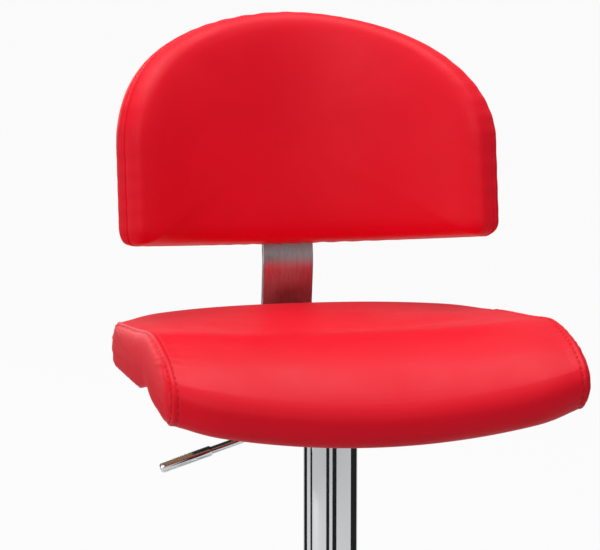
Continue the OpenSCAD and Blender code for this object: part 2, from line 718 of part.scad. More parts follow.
module back_board() color("burlywood") difference() {
    rings = [for (c = rear_curve) if (c[0] <= board_s) c];
    shell([for (c = rings) back_ring(c[0], c[1] * board_w[1] - clearance, vinyl)],
          [for (c = rings) back_ring(c[0], board_w[0], vinyl)],
          [back_mid(board_w[1] - clearance), back_mid(board_w[0])], tips_first = false, flip = true);
    for (v = back_bolts_at) on_back(v, board_w[0] - 3) {
        cylinder(r = t_nut_r, h = 20);
        cylinder(r = t_nut_flange_r, h = 3 + t_nut_flange_t);
    }
}

module back_foam() color("khaki") {
    half = back_half - vinyl - clearance;
    rear_w = board_w[0] - clearance;
    loft(concat([for (c = front_curve) back_ring(c[0], c[1] * half, vinyl + clearance)],
                [for (c = rear_curve) if (c[0] <= board_s) back_ring(c[0], rear_w, vinyl)]),
         back_mid(-half), back_mid(rear_w), flip = true);
}

module back_cover() color(red) shell([for (c = front_curve) back_ring(c[0], c[1] * back_half)],
    [for (c = front_curve) back_ring(c[0], c[1] * (back_half - vinyl), vinyl)],
    [back_mid(-back_half), back_mid(vinyl - back_half)], tips_first = true, flip = true);

module back_rear_panel() color(red) difference() {
    shell([for (c = rear_curve) back_ring(c[0], c[1] * back_half)],
          [for (c = rear_curve) back_ring(c[0], c[1] * (back_half - vinyl), vinyl)],
          [back_mid(back_half), back_mid(back_half - vinyl)], tips_first = false, flip = true);
    on_back(mount_slot[0], back_half - 5) translate([-t_nut_r - 1, mount_slot[0] - mount_slot[1], 0])
        cube([2 * t_nut_r + 2, mount_slot[1] - mount_slot[0], 10]);
}

back_head_w = back_half + bar_t + washer_t;

module back_bolts() color(steel) for (v = back_bolts_at)
    on_back(v, back_head_w) mirror([0, 0, 1]) bolt(back_head_w - board_w[0] - 1);

module back_washers() color(steel) for (v = back_bolts_at)
    on_back(v, back_head_w - washer_t) tube(washer_r, bolt_r, washer_t);

module back_t_nuts() color(steel) for (v = back_bolts_at)
    on_back(v, board_w[1]) mirror([0, 0, 1]) t_nut(board_w[1] - board_w[0] - t_nut_flange_t);

// ---------------------------------------------------------------- nodes

base_star();
caster_stems();
caster_grip_rings();
column_tube();
column_end_plate();
column_bush();
thrust_washer_lower();
thrust_balls();
piston_rod();
piston();
thrust_washer_upper();
bump_stop();
rod_clip();
gas_cylinder();
cylinder_gland();
valve_block();
release_pin();
seat_plate();
lever_rod();
lever_grip();
lever_pivot_pin();
seat_board();
seat_foam();
seat_cover();
seat_side_panel_left();
seat_side_panel_right();
seat_dust_cover();
seat_bolts();
seat_washers();
seat_t_nuts();
back_bar();
back_board();
back_foam();
back_cover();
back_rear_panel();
back_bolts();
back_washers();
back_t_nuts();
for (i = [1 : leg_count]) {
    caster_hood(i);
    caster_axle(i);
    caster_wheel(i, -1);
    caster_wheel(i, 1);
}
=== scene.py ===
"""Rolling stylist stool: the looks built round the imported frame. Metres, +Z up, front at -Y."""

import json
import math

import bpy
import numpy as np
from mathutils import Matrix, Vector


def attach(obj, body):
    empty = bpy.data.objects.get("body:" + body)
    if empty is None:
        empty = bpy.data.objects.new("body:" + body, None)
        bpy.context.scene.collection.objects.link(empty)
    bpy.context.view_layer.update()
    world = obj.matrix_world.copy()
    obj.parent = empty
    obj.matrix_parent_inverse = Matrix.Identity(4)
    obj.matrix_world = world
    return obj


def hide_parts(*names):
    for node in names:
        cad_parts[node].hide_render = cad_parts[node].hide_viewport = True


MM = 0.001


def new_object(name, data):
    obj = bpy.data.objects.new(name, data)
    bpy.context.scene.collection.objects.link(obj)
    return obj


# --- camera
CAMERA_TURN = 14.0        # degrees to the viewer's left of the stool's front
CAMERA_DISTANCE = 2.8
CAMERA_HEIGHT = 0.865
CAMERA_PITCH = 7.56       # degrees below level
CAMERA_YAW = 0.575        # degrees left of the column's axis
LENS = 184.6


def make_camera():
    data = bpy.data.cameras.new("camera")
    data.lens = LENS
    data.clip_end = 60.0
    camera = new_object("camera", data)
    turn = math.radians(CAMERA_TURN)
    camera.location = (-CAMERA_DISTANCE * math.sin(turn), -CAMERA_DISTANCE * math.cos(turn), CAMERA_HEIGHT)
    camera.rotation_euler = (math.radians(90 - CAMERA_PITCH), 0, math.radians(CAMERA_YAW - CAMERA_TURN))
    bpy.context.scene.camera = camera


make_camera()
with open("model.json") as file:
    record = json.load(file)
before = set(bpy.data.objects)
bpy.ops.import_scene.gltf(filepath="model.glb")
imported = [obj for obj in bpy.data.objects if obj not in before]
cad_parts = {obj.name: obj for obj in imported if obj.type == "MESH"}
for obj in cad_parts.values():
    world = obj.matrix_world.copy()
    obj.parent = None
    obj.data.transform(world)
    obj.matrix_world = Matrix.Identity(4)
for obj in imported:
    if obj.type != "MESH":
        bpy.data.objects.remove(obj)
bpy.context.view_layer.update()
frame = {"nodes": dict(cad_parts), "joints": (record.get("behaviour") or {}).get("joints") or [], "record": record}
nodes = frame["nodes"]


# --- node material helper
class Surface:
    """A Principled material, built node by node."""

    def __init__(self, name, **values):
        self.mat = bpy.data.materials.new(name)
        self.mat.use_nodes = True
        self.tree = self.mat.node_tree
        self.bsdf = self.tree.nodes["Principled BSDF"]
        for key, value in values.items():
            socket = self.bsdf.inputs[key.replace("_", " ").title().replace("Ior", "IOR")]
            socket.default_value = (*value, 1.0) if isinstance(value, tuple) else value
        self.coords = self.tree.nodes.new("ShaderNodeTexCoord").outputs["Object"]
        self.height = None

    def link(self, source, target):
        self.tree.links.new(source, target)

    def node(self, kind, **inputs):
        made = self.tree.nodes.new(kind)
        for key, value in inputs.items():
            socket = made.inputs[int(key[1:])] if key[0] == "i" and key[1:].isdigit() else made.inputs[key]
            if isinstance(value, bpy.types.NodeSocket):
                self.link(value, socket)
            else:
                socket.default_value = value
        return made

    def stretched(self, scale):
        """Coordinates stretched before a texture."""
        made = self.node("ShaderNodeMapping", Vector=self.coords)
        made.inputs["Scale"].default_value = scale
        return made.outputs["Vector"]

    def noise(self, scale, detail=3.0, roughness=0.5, coords=None):
        made = self.node("ShaderNodeTexNoise", Vector=coords or self.coords, Scale=scale, Detail=detail,
                         Roughness=roughness)
        return made.outputs["Fac"]

    def cells(self, scale, feature="SMOOTH_F1", coords=None):
        made = self.node("ShaderNodeTexVoronoi", Vector=coords or self.coords, Scale=scale)
        made.feature = feature
        return made.outputs["Distance"]

    def spread(self, fac, low, high, start=0.3, end=0.7):
        """A value that runs from low to high as fac runs from start to end."""
        made = self.node("ShaderNodeMapRange", Value=fac)
        for key, value in (("From Min", start), ("From Max", end), ("To Min", low), ("To Max", high)):
            made.inputs[key].default_value = value
        return made.outputs["Result"]

    def colour(self, fac, first, second):
        """Base colour that runs from first to second with fac."""
        made = self.node("ShaderNodeMix", Factor=fac)
        made.data_type = "RGBA"
        pair = [socket for socket in made.inputs if socket.type == "RGBA"]
        for socket, value in zip(pair, (first, second)):
            socket.default_value = (*value, 1.0)
        mixed = next(socket for socket in made.outputs if socket.type == "RGBA")
        self.link(mixed, self.bsdf.inputs["Base Color"])

    def rough(self, fac, low, high):
        self.link(self.spread(fac, low, high), self.bsdf.inputs["Roughness"])

    def bump(self, height, strength, distance):
        made = self.node("ShaderNodeBump", Height=height, Strength=strength, Distance=distance)
        if self.height is not None:
            self.link(self.height, made.inputs["Normal"])
        self.height = made.outputs["Normal"]
        self.link(self.height, self.bsdf.inputs["Normal"])


def red_vinyl():
    s = Surface("red_vinyl", roughness=0.5, specular_ior_level=0.2)
    tone = s.spread(s.noise(7.0, 4.0), 0.0, 1.0)
    s.colour(tone, (0.77, 0.0006, 0.014), (0.83, 0.0014, 0.018))
    s.rough(s.noise(26.0, 5.0), 0.44, 0.54)
    s.bump(s.cells(950.0), 0.16, 0.00025)
    s.bump(s.noise(2600.0, 2.0), 0.08, 0.0001)
    s.bump(s.noise(38.0, 3.0), 0.05, 0.002)
    return s.mat


def seam_thread():
    s = Surface("seam_thread", roughness=0.6)
    # thread colour set well below the vinyl's red: the darkness is painted shade of the sunk stitch holes
    s.colour(s.noise(900.0), (0.30, 0.002, 0.010), (0.44, 0.004, 0.016))
    s.bump(s.noise(2500.0, 2.0, coords=s.stretched((1, 1, 0.3))), 0.5, 0.0002)
    return s.mat


def chrome():
    s = Surface("chrome", metallic=1.0, roughness=0.05)
    s.colour(s.noise(5.0), (0.80, 0.82, 0.84), (0.86, 0.87, 0.88))
    s.rough(s.noise(60.0, 6.0), 0.035, 0.075)
    s.bump(s.noise(9.0, 1.0), 0.02, 0.002)
    s.bump(s.noise(1500.0, 2.0, coords=s.stretched((1, 1, 0.05))), 0.006, 0.0001)
    return s.mat


def satin_steel():
    s = Surface("satin_steel", metallic=1.0, roughness=0.33, anisotropic=0.4)
    grain = s.noise(700.0, 3.0, coords=s.stretched((1.0, 1.0, 0.02)))
    s.colour(s.spread(grain, 0, 1), (0.42, 0.41, 0.42), (0.54, 0.53, 0.54))
    s.rough(s.noise(45.0, 5.0), 0.28, 0.40)
    s.bump(grain, 0.12, 0.0002)
    return s.mat


def zinc():
    s = Surface("zinc_plate", metallic=1.0, roughness=0.4)
    s.colour(s.cells(160.0, "F1"), (0.50, 0.51, 0.52), (0.66, 0.65, 0.60))
    s.rough(s.noise(220.0, 4.0), 0.30, 0.48)
    s.bump(s.noise(900.0), 0.1, 0.0002)
    return s.mat


def ground_steel():
    s = Surface("ground_steel", metallic=1.0, roughness=0.16)
    s.colour(s.noise(30.0), (0.62, 0.63, 0.65), (0.74, 0.74, 0.75))
    s.rough(s.noise(400.0, 3.0, coords=s.stretched((1, 1, 12))), 0.12, 0.22)
    return s.mat


def powder_coat():
    s = Surface("powder_coat", roughness=0.5, specular_ior_level=0.45)
    s.colour(s.noise(40.0, 4.0), (0.012, 0.012, 0.013), (0.022, 0.022, 0.023))
    s.rough(s.noise(90.0, 4.0), 0.42, 0.58)
    s.bump(s.noise(1300.0, 2.0), 0.35, 0.0003)
    return s.mat


def lacquer():
    s = Surface("black_lacquer", roughness=0.22, coat_weight=0.3, coat_roughness=0.1)
    s.colour(s.noise(30.0), (0.012, 0.012, 0.012), (0.02, 0.02, 0.02))
    s.rough(s.noise(300.0, 4.0, coords=s.stretched((1, 1, 0.05))), 0.18, 0.3)
    return s.mat


def nylon():
    s = Surface("black_nylon", roughness=0.42, specular_ior_level=0.5)
    s.colour(s.noise(60.0, 4.0), (0.018, 0.018, 0.019), (0.03, 0.03, 0.031))
    s.rough(s.noise(120.0, 4.0), 0.34, 0.52)
    s.bump(s.noise(2200.0, 2.0), 0.3, 0.00015)
    return s.mat


def tread_rubber():
    s = Surface("tread_rubber", roughness=0.62)
    s.colour(s.noise(80.0, 5.0), (0.07, 0.07, 0.072), (0.115, 0.113, 0.11))
    s.rough(s.noise(160.0, 4.0), 0.55, 0.75)
    s.bump(s.noise(1200.0, 3.0), 0.35, 0.0003)
    return s.mat


def dust_cloth():
    s = Surface("dust_cloth", roughness=0.95, sheen_weight=0.3, sheen_roughness=0.6)
    fibres = s.noise(700.0, 6.0, 0.7)
    s.colour(s.spread(fibres, 0, 1), (0.010, 0.010, 0.010), (0.034, 0.034, 0.035))
    s.bump(fibres, 0.5, 0.0003)
    s.bump(s.cells(420.0, "F1"), 0.6, 0.0004)
    return s.mat


def plywood():
    s = Surface("plywood", roughness=0.7)
    grain = s.noise(30.0, 6.0, 0.65, coords=s.stretched((1.0, 12.0, 12.0)))
    s.colour(s.spread(grain, 0, 1), (0.42, 0.26, 0.13), (0.62, 0.43, 0.25))
    s.bump(grain, 0.3, 0.0004)
    return s.mat


def foam():
    s = Surface("foam", roughness=0.95)
    s.colour(s.noise(60.0, 5.0), (0.62, 0.56, 0.34), (0.74, 0.68, 0.45))
    s.bump(s.cells(700.0, "F1"), 0.7, 0.0006)
    return s.mat


MATERIALS = {
    "red_vinyl": red_vinyl(), "seam_thread": seam_thread(), "chrome": chrome(), "satin_steel": satin_steel(),
    "zinc_steel": zinc(), "bearing_steel": ground_steel(), "black_plate": powder_coat(),
    "black_tube": lacquer(), "black_nylon": nylon(), "rubber": tread_rubber(), "dust_cloth": dust_cloth(),
    "plywood": plywood(), "foam": foam(),
}


# --- mesh helpers
def add_object(name, verts, faces, material, body, slot=None):
    mesh = bpy.data.meshes.new(name)
    mesh.from_pydata([tuple(v) for v in np.asarray(verts, float)], [], [tuple(f) for f in faces])
    mesh.validate()
    mesh.polygons.foreach_set("use_smooth", [True] * len(mesh.polygons))
    mesh.materials.append(MATERIALS[material])
    obj = new_object(name, mesh)
    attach(obj, body)
    return obj


def faces_outward(verts, faces):
    """Flips all faces if the closed form they make is inside out."""
    v = np.asarray(verts)
    volume = 0.0
    for f in faces:
        for k in range(1, len(f) - 1):
            volume += float(np.dot(v[f[0]], np.cross(v[f[k]], v[f[k + 1]])))
    return faces if volume > 0 else [tuple(f)[::-1] for f in faces]


def solid(name, parts, material, body, stands_for, sharp=None):
    """A closed piece, in place of a CAD node if one is named. Edges over `sharp` degrees stay sharp."""
    verts, faces = parts
    obj = add_object(name, verts, faces_outward(verts, faces), material, body)
    if sharp is not None:
        obj.data.set_sharp_from_angle(angle=math.radians(sharp))
    if stands_for:
        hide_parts(stands_for)
    return obj


def skin_faces(m, n, around=True):
    """Quads between m successive rows of n points; rows close on themselves if around."""
    j = np.arange(n if around else n - 1)
    k = (j + 1) % n
    return np.concatenate([np.stack([i * n + j, i * n + k, (i + 1) * n + k, (i + 1) * n + j], 1)
                           for i in range(m - 1)])


def closed_skin(grid):
    """Verts and faces of a closed solid through equal rings, its ends filled by fans."""
    m, n, _ = grid.shape
    verts = np.concatenate([grid.reshape(-1, 3), grid[:1].mean(1), grid[-1:].mean(1)])
    fans = [(m * n, (j + 1) % n, j) for j in range(n)]
    fans += [(m * n + 1, (m - 1) * n + j, (m - 1) * n + (j + 1) % n) for j in range(n)]
    return verts, [tuple(f) for f in skin_faces(m, n)] + fans


def rounded(points, radius, steps=4, closed=True):
    """A 2D outline with its corners rounded."""
    p = np.asarray(points, float)
    out = []
    for i in range(len(p)):
        if not closed and i in (0, len(p) - 1):
            out.append(p[i])
            continue
        before, after = p[i - 1] - p[i], p[(i + 1) % len(p)] - p[i]
        reach = min(radius, 0.45 * np.linalg.norm(before), 0.45 * np.linalg.norm(after))
        a = p[i] + before / np.linalg.norm(before) * reach
        b = p[i] + after / np.linalg.norm(after) * reach
        for s in np.linspace(0, 1, steps + 1):
            out.append((1 - s) ** 2 * a + 2 * s * (1 - s) * p[i] + s * s * b)
    return np.array(out)


def looped_faces(m, n):
    """Faces of m rings of n points, the last ring joined to the first."""
    last = (m - 1) * n
    joined = [(last + j, last + (j + 1) % n, (j + 1) % n, j) for j in range(n)]
    return [tuple(f) for f in skin_faces(m, n)] + joined


def lathe_parts(profile, segments):
    """Verts and faces of a closed (radius, height) outline turned about +Z."""
    angles = np.radians(360.0 * np.arange(segments) / segments)
    verts = np.array([[r * math.cos(a), r * math.sin(a), z] for a in angles for r, z in profile])
    return verts, looped_faces(segments, len(profile))


def place(parts, matrix):
    """The same parts, moved by a 4x4 matrix."""
    verts, faces = parts
    m = np.array(matrix)
    return verts @ m[:3, :3].T + m[:3, 3], faces


def join(*parts):
    """Several (verts, faces) pairs as one."""
    verts, faces, start = [], [], 0
    for v, f in parts:
        verts.append(v)
        faces += [tuple(int(i) + start for i in face) for face in f]
        start += len(v)
    return np.concatenate(verts), faces


def tube_along(path, radius, sides):
    """Verts and faces of a round bar along a path, closed at both ends."""
    path = np.asarray(path, float)
    tangent = np.gradient(path, axis=0)
    tangent /= np.linalg.norm(tangent, axis=1)[:, None]
    side = np.cross(tangent[0], (0, 0, 1.0) if abs(tangent[0][2]) < 0.9 else (0, 1.0, 0))
    angles = np.linspace(0, 2 * math.pi, sides, endpoint=False)
    rings = []
    for p, t in zip(path, tangent):
        side = side - t * (side @ t)
        side /= np.linalg.norm(side)
        up = np.cross(t, side)
        rings.append(p + radius * (np.cos(angles)[:, None] * side + np.sin(angles)[:, None] * up))
    return closed_skin(np.array(rings))


def ring_arc(ring):
    """Distance along a closed ring at each of its points, and its whole length."""
    steps = np.linalg.norm(np.roll(ring, -1, 0) - ring, axis=1)
    return np.concatenate([[0], np.cumsum(steps)[:-1]]), steps.sum()


def along_ring(ring, share):
    """Points of a closed ring at shares of its length, counted from its first point."""
    arc, total = ring_arc(ring)
    closed = np.append(arc, total)
    return np.stack([np.interp(share * total, closed, np.append(c, c[0])) for c in ring.T], -1)


def spline_points(control, steps, closed=True):
    """Catmull-Rom curve through control points, with equal steps between them."""
    c = np.asarray(control, float)
    if closed:
        p0, p1, p2, p3 = np.roll(c, 1, 0), c, np.roll(c, -1, 0), np.roll(c, -2, 0)
    else:
        ends = np.concatenate([2 * c[:1] - c[1:2], c, 2 * c[-1:] - c[-2:-1]])
        p0, p1, p2, p3 = ends[:-3], ends[1:-2], ends[2:-1], ends[3:]
    s = (np.arange(steps) / steps)[None, :, None]
    p0, p1, p2, p3 = (a[:, None, :] for a in (p0, p1, p2, p3))
    out = 0.5 * (2 * p1 + (p2 - p0) * s + (2 * p0 - 5 * p1 + 4 * p2 - p3) * s * s
                 + (3 * p1 - p0 - 3 * p2 + p3) * s ** 3)
    out = out.reshape(-1, c.shape[1])
    return out if closed else np.concatenate([out, c[-1:]])


def grid_normals(grid):
    """Unit normals of a grid of rings that close on themselves."""
    along = np.gradient(grid, axis=0)
    around = np.roll(grid, -1, 1) - np.roll(grid, 1, 1)
    n = np.cross(along, around)
    return n / np.maximum(np.linalg.norm(n, axis=2, keepdims=True), 1e-12)


SIM_FRAMES = 20
SIM_PRESSURE = 4.0


def simulate(verts, faces, pins):
    """Cloth pressure on a closed form held at its pinned points. Returns how far each point moved."""
    mesh = bpy.data.meshes.new("inflating")
    mesh.from_pydata([tuple(v) for v in verts], [], [tuple(int(i) for i in f) for f in faces])
    obj = new_object("inflating", mesh)
    group = obj.vertex_groups.new(name="pinned")
    for i, weight in enumerate(pins):
        if weight > 0.001:
            group.add([i], float(weight), "REPLACE")
    cloth = obj.modifiers.new("cloth", "CLOTH")
    settings = cloth.settings
    settings.quality = 6
    settings.mass = 0.3
    settings.tension_stiffness = 25
    settings.compression_stiffness = 25
    settings.shear_stiffness = 12
    settings.bending_stiffness = 2.0
    settings.use_pressure = True
    settings.uniform_pressure_force = SIM_PRESSURE
    settings.vertex_group_mass = "pinned"
    settings.effector_weights.gravity = 0.0
    cloth.collision_settings.use_collision = False
    cloth.collision_settings.use_self_collision = False
    for step in range(1, SIM_FRAMES + 1):
        bpy.context.scene.frame_set(step)
    shape = obj.evaluated_get(bpy.context.evaluated_depsgraph_get()).to_mesh()
    moved = np.zeros(len(verts) * 3)
    shape.vertices.foreach_get("co", moved)
    moved = moved.reshape(-1, 3) - np.asarray(verts)
    bpy.context.scene.frame_set(1)
    bpy.data.objects.remove(obj)
    return moved


def swelling(moved, normals, free, reach, passes, around):
    """Outward movement of a grid of points, evened out, scaled so that most points stay within reach."""
    out = np.sum(moved * normals, 2) * free
    for _ in range(passes):
        side = np.pad(out, ((0, 0), (1, 1)), mode="wrap" if around else "edge")
        both = np.pad(out, ((1, 1), (0, 0)), mode="edge")
        out = 0.4 * out + 0.15 * (side[:, 2:] + side[:, :-2] + both[2:] + both[:-2])
    out *= free
    out *= reach / max(float(np.percentile(np.abs(out), 92)), 1e-7)
    return np.clip(out, -1.2 * reach, 1.2 * reach) - 0.5 * reach * free


# --- seat cushion
SEAT_Z = 455 * MM
SEAM_X = 186.5 * MM
SEAT_REAR = 158 * MM
SEAT_FRONT = 211 * MM
SIDE_BULGE = 10 * MM
HUMP, HUMP_Y = -3 * MM, -88.6 * MM        # top of the rolled front, heights counted from SEAT_Z
RIM, RIM_Y = -5.4 * MM, 136 * MM          # raised rear rim
DISH, LIP, FLAT = -16 * MM, -89 * MM, -53.6 * MM
UNDER = SEAT_Z + FLAT                     # underside of the wrapped board
WRAP_Z = SEAT_Z - 47 * MM                 # below this the vinyl lies round the board's edge
VINYL = 1.2 * MM
FOAM_GAP = 3.0 * MM                       # from the vinyl's outside to the foam
SWELL = 3.0 * MM          # how far the stuffing pushes the vinyl out between its seams
STITCH_PITCH = 7.0 * MM
TOPSTITCH = 5.6 * MM      # distance of the second row of stitches from the seam


def seat_profile():
    """Control points (y, height above the datum) of the side profile at the seat's middle."""
    r, f = SEAT_REAR, -SEAT_FRONT
    return np.array([
        (r, -22 * MM), (r - 4 * MM, RIM - 10 * MM), (r - 22 * MM, RIM),
        (r - 60 * MM, DISH + (RIM - DISH) * 0.45), (r * 0.35, DISH + MM), (0, DISH),
        (f * 0.22, DISH + (HUMP - DISH) * 0.5), (f * 0.42, HUMP), (f * 0.6, HUMP - 3 * MM),
        (f * 0.79, HUMP - 16 * MM), (f * 0.94, HUMP - 38 * MM), (f, -60 * MM), (f * 0.975, LIP + 9 * MM),
        (f * 0.89, LIP), (f * 0.76, LIP + 8 * MM), (f * 0.6, FLAT - 12 * MM), (f * 0.46, FLAT),
        (0, FLAT), (r * 0.8, FLAT), (r * 0.93, FLAT + 5 * MM), (r - MM, FLAT + 20 * MM)])


def seat_section(t, loop):
    """The side profile at t, from -1 at one seam to 1 at the other."""
    y, z = loop[:, 0], loop[:, 1]
    front = np.clip((-y - 60 * MM) / (110 * MM), 0, 1)
    top = np.clip((z + 45 * MM) / (40 * MM), 0, 1)
    back = np.clip((y + 90 * MM) / (220 * MM), 0, 1)
    below = z < -45 * MM
    # the dish fades towards the seams, where the top runs straight from hump to rim
    chord = HUMP + (RIM - HUMP) * (y - HUMP_Y) / (RIM_Y - HUMP_Y)
    dip = np.where(below | (y < HUMP_Y) | (y > RIM_Y), 0, np.maximum(0, chord - z))
    z = np.where(below & (y > -98 * MM) & (y < 128 * MM), FLAT, z + dip * t * t)
    lift = (11.2 - 13.7 * back) * MM
    shorten = np.where(y < 0, 0.055 * t * t, 0.4 * abs(t) ** 2.9)
    y = y * (1 - shorten)
    z = z + t * t * (lift * top + 21.7 * MM * (1 - top) * front)
    edge = 0.067 * max(0.0, (abs(t) - 0.75) / 0.25) ** 2
    cy, cz = (y.max() + y.min()) / 2, (z.max() + z.min()) / 2
    return np.stack([cy + (y - cy) * (1 - edge), SEAT_Z + cz + (z - cz) * (1 - 1.8 * edge)], 1)


def dome_centre(outline):
    """A point of a side panel's outline from which all of it can be seen, lip included."""
    low, high = outline.min(0), outline.max(0)
    return np.array([low[0] + 0.3 * (high[0] - low[0]), high[1] - 0.42 * (high[1] - low[1])])


def bulge_shape(outline, rings=14):
    """How far an inflated skin stands out of a flat outline: 0 at its edge, 1 at its highest.
    Solves the membrane equation on rings shrunk about the middle; rows run from edge to middle."""
    n = len(outline)
    centre = dome_centre(outline)
    scale = np.linspace(1, 0, rings + 1)[:-1]
    shrunk = centre + (outline[None] - centre) * scale[:, None, None]
    points = np.concatenate([shrunk.reshape(-1, 2), [centre]])
    cells = skin_faces(rings, n)
    last = (rings - 1) * n
    tris = np.concatenate([cells[:, [0, 1, 2]], cells[:, [0, 2, 3]],
                           [(last + k, last + (k + 1) % n, rings * n) for k in range(n)]])
    p = points[tris]
    edge = np.stack([p[:, 2] - p[:, 1], p[:, 0] - p[:, 2], p[:, 1] - p[:, 0]], 1)
    area = np.abs(edge[:, 0, 0] * edge[:, 1, 1] - edge[:, 0, 1] * edge[:, 1, 0]) / 2 + 1e-12
    stiff, load = np.zeros((len(points), len(points))), np.zeros(len(points))
    for a in range(3):
        np.add.at(load, tris[:, a], area / 3)
        for b in range(3):
            np.add.at(stiff, (tris[:, a], tris[:, b]), np.sum(edge[:, a] * edge[:, b], 1) / (4 * area))
    height = np.zeros(len(points))
    height[n:] = np.linalg.solve(stiff[n:, n:], load[n:])
    rows = np.concatenate([height[:-1].reshape(rings, n), np.full((1, n), height[-1])])
    return np.maximum(rows / height.max(), 0)


BULGE = {}                # domes already solved, by the number of points round them


def side_dome(section):
    """Heights of a side panel's dome, 0 to 1, in rows from the seam to its middle."""
    n = len(section)
    if n not in BULGE:
        thin = n // 105 if n >= 210 else 1
        rows = bulge_shape(section[::thin])
        at = np.arange(n) / thin
        i = at.astype(int) % rows.shape[1]
        f = at - at.astype(int)
        BULGE[n] = rows[:, i] * (1 - f) + rows[:, (i + 1) % rows.shape[1]] * f
    return BULGE[n]


def dome_scale(s):
    """Share of the seam's outline that the ring at s, beyond 1, is shrunk to."""
    return math.sin(math.radians(90 * (2 - abs(s))))


def seat_ring(s, loop):
    """One ring of the cushion: s from -1 to 1 is the main panel, beyond that a side panel's dome."""
    section = seat_section(max(-1.0, min(1.0, s)), loop)
    if abs(s) <= 1:
        return np.column_stack([np.full(len(section), s * SEAM_X), section])
    rows, scale = side_dome(section), dome_scale(s)
    q = (1 - scale) * (len(rows) - 1)
    i = min(int(q), len(rows) - 2)
    height = np.sqrt(rows[i] * (1 - q + i) + rows[i + 1] * (q - i))
    centre = dome_centre(section)
    x = math.copysign(1, s) * (SEAM_X + SIDE_BULGE * height)
    return np.column_stack([x, centre + (section - centre) * scale])


def seat_stations():
    """Ring positions, crowded towards the seams so that the stitching can be shaped."""
    gaps, d, step = [], 0.0, 0.55 * MM
    while d < SEAM_X:
        gaps.append(d)
        d += step
        if d > 8 * MM:
            step = min(step * 1.18, 5 * MM)
    half = np.array([1 - g / SEAM_X for g in gaps] + [0.0])
    angles, a, step = [], 90.0, 2.4
    while a > 6:
        a -= step
        step = min(step * 1.08, 6.5)
        angles.append(2 - a / 90)
    right = np.concatenate([half[::-1], angles])
    return np.concatenate([-right[:0:-1], right])


def seat_free(grid, stations):
    """1 where the vinyl may swell, 0 at the seams and where it lies on the board."""
    seam = 1 - np.exp(-((np.abs(stations) - 1) / 0.045) ** 2)[:, None]
    above = np.clip((grid[:, :, 2] - WRAP_Z) / (9 * MM), 0, 1)
    front = np.clip((-grid[:, :, 1] - 0.125) / 0.03, 0, 1)
    return seam * np.maximum(above, front)


def seat_cushion():
    """The sewn and swollen outside of the seat as a grid of rings, its normals and the rings' places."""
    steps = 20
    loop = spline_points(seat_profile(), steps)
    stations = seat_stations()
    grid = np.array([seat_ring(s, loop) for s in stations])
    normals = grid_normals(grid)
    if normals[len(stations) // 2, 5 * steps, 2] < 0:
        normals = -normals
    coarse_steps = 5
    coarse_loop = spline_points(seat_profile(), coarse_steps)
    coarse_s = np.concatenate([-2 + np.array([0.1, 0.3, 0.5, 0.7, 0.86]), np.linspace(-1, 1, 53),
                               2 - np.array([0.86, 0.7, 0.5, 0.3, 0.1])])
    coarse = np.array([seat_ring(s, coarse_loop) for s in coarse_s])
    verts, faces = closed_skin(coarse)
    free = seat_free(coarse, coarse_s)
    moved = simulate(verts, faces_outward(verts, faces), np.concatenate([1 - free.ravel(), [0, 0]]))
    outward = grid_normals(coarse)
    if outward[len(coarse_s) // 2, 5 * coarse_steps, 2] < 0:
        outward = -outward
    swell = swelling(moved[:-2].reshape(coarse.shape), outward, free, SWELL, 14, True)
    swell = resample(swell[:, :, None], coarse_s, stations, steps // coarse_steps)
    grid = grid + normals * swell
    ripple = seam_relief(grid, stations)
    return grid + normals * ripple[:, :, None], normals, stations


def resample(field, known, wanted, factor):
    """Spreads a coarse field of rings onto finer rings and finer points round each ring."""
    along = np.empty((len(wanted), *field.shape[1:]))
    for j in range(field.shape[1]):
        for c in range(field.shape[2]):
            along[:, j, c] = np.interp(wanted, known, field[:, j, c])
    n = field.shape[1]
    x = np.arange(n * factor) / factor
    i = x.astype(int)
    f = (x - i)[None, :, None]
    f = f * f * (3 - 2 * f)
    return along[:, i % n] * (1 - f) + along[:, (i + 1) % n] * f


def bell(x, width):
    """1 at x = 0, falling off over about the width."""
    return np.exp(-(x / width) ** 2)


def seam_relief(grid, stations):
    """Height of the sewn seam: the join, the raised strip beside it, the stitch dimples and the puckers."""
    seam_rows = [int(np.argmin(np.abs(stations - s))) for s in (-1, 1)]
    arcs = [ring_arc(grid[i])[0] for i in seam_rows]
    out = np.zeros(grid.shape[:2])
    for i, s in enumerate(stations):
        arc = arcs[0] if s < 0 else arcs[1]
        d = (1 - abs(s)) * SEAM_X if abs(s) <= 1 else (dome_scale(s) - 1) * 60 * MM
        pull = 0.5 + 0.5 * np.cos(arc / STITCH_PITCH * 2 * math.pi)
        wander = np.sin(arc * 37 + 1.3) * np.sin(arc * 91 + 0.4)
        groove = -1.3 * MM * bell(d, 1.0 * MM) - 0.75 * MM * bell(d - TOPSTITCH, 0.9 * MM) * (0.45 + 0.55 * pull)
        strip = 0.75 * MM * bell(d - TOPSTITCH / 2, 2.1 * MM) * (1 - 0.25 * pull)
        away = d - TOPSTITCH if d > TOPSTITCH else min(d, 0)
        fade = math.exp(-abs(away) / (13 * MM)) if away else 0.3
        pucker = 0.42 * MM * fade * np.sin(arc / (15 * MM) * 2 * math.pi + 2.2 * wander) * (0.5 + 0.5 * wander)
        out[i] = groove + strip + pucker
    return out


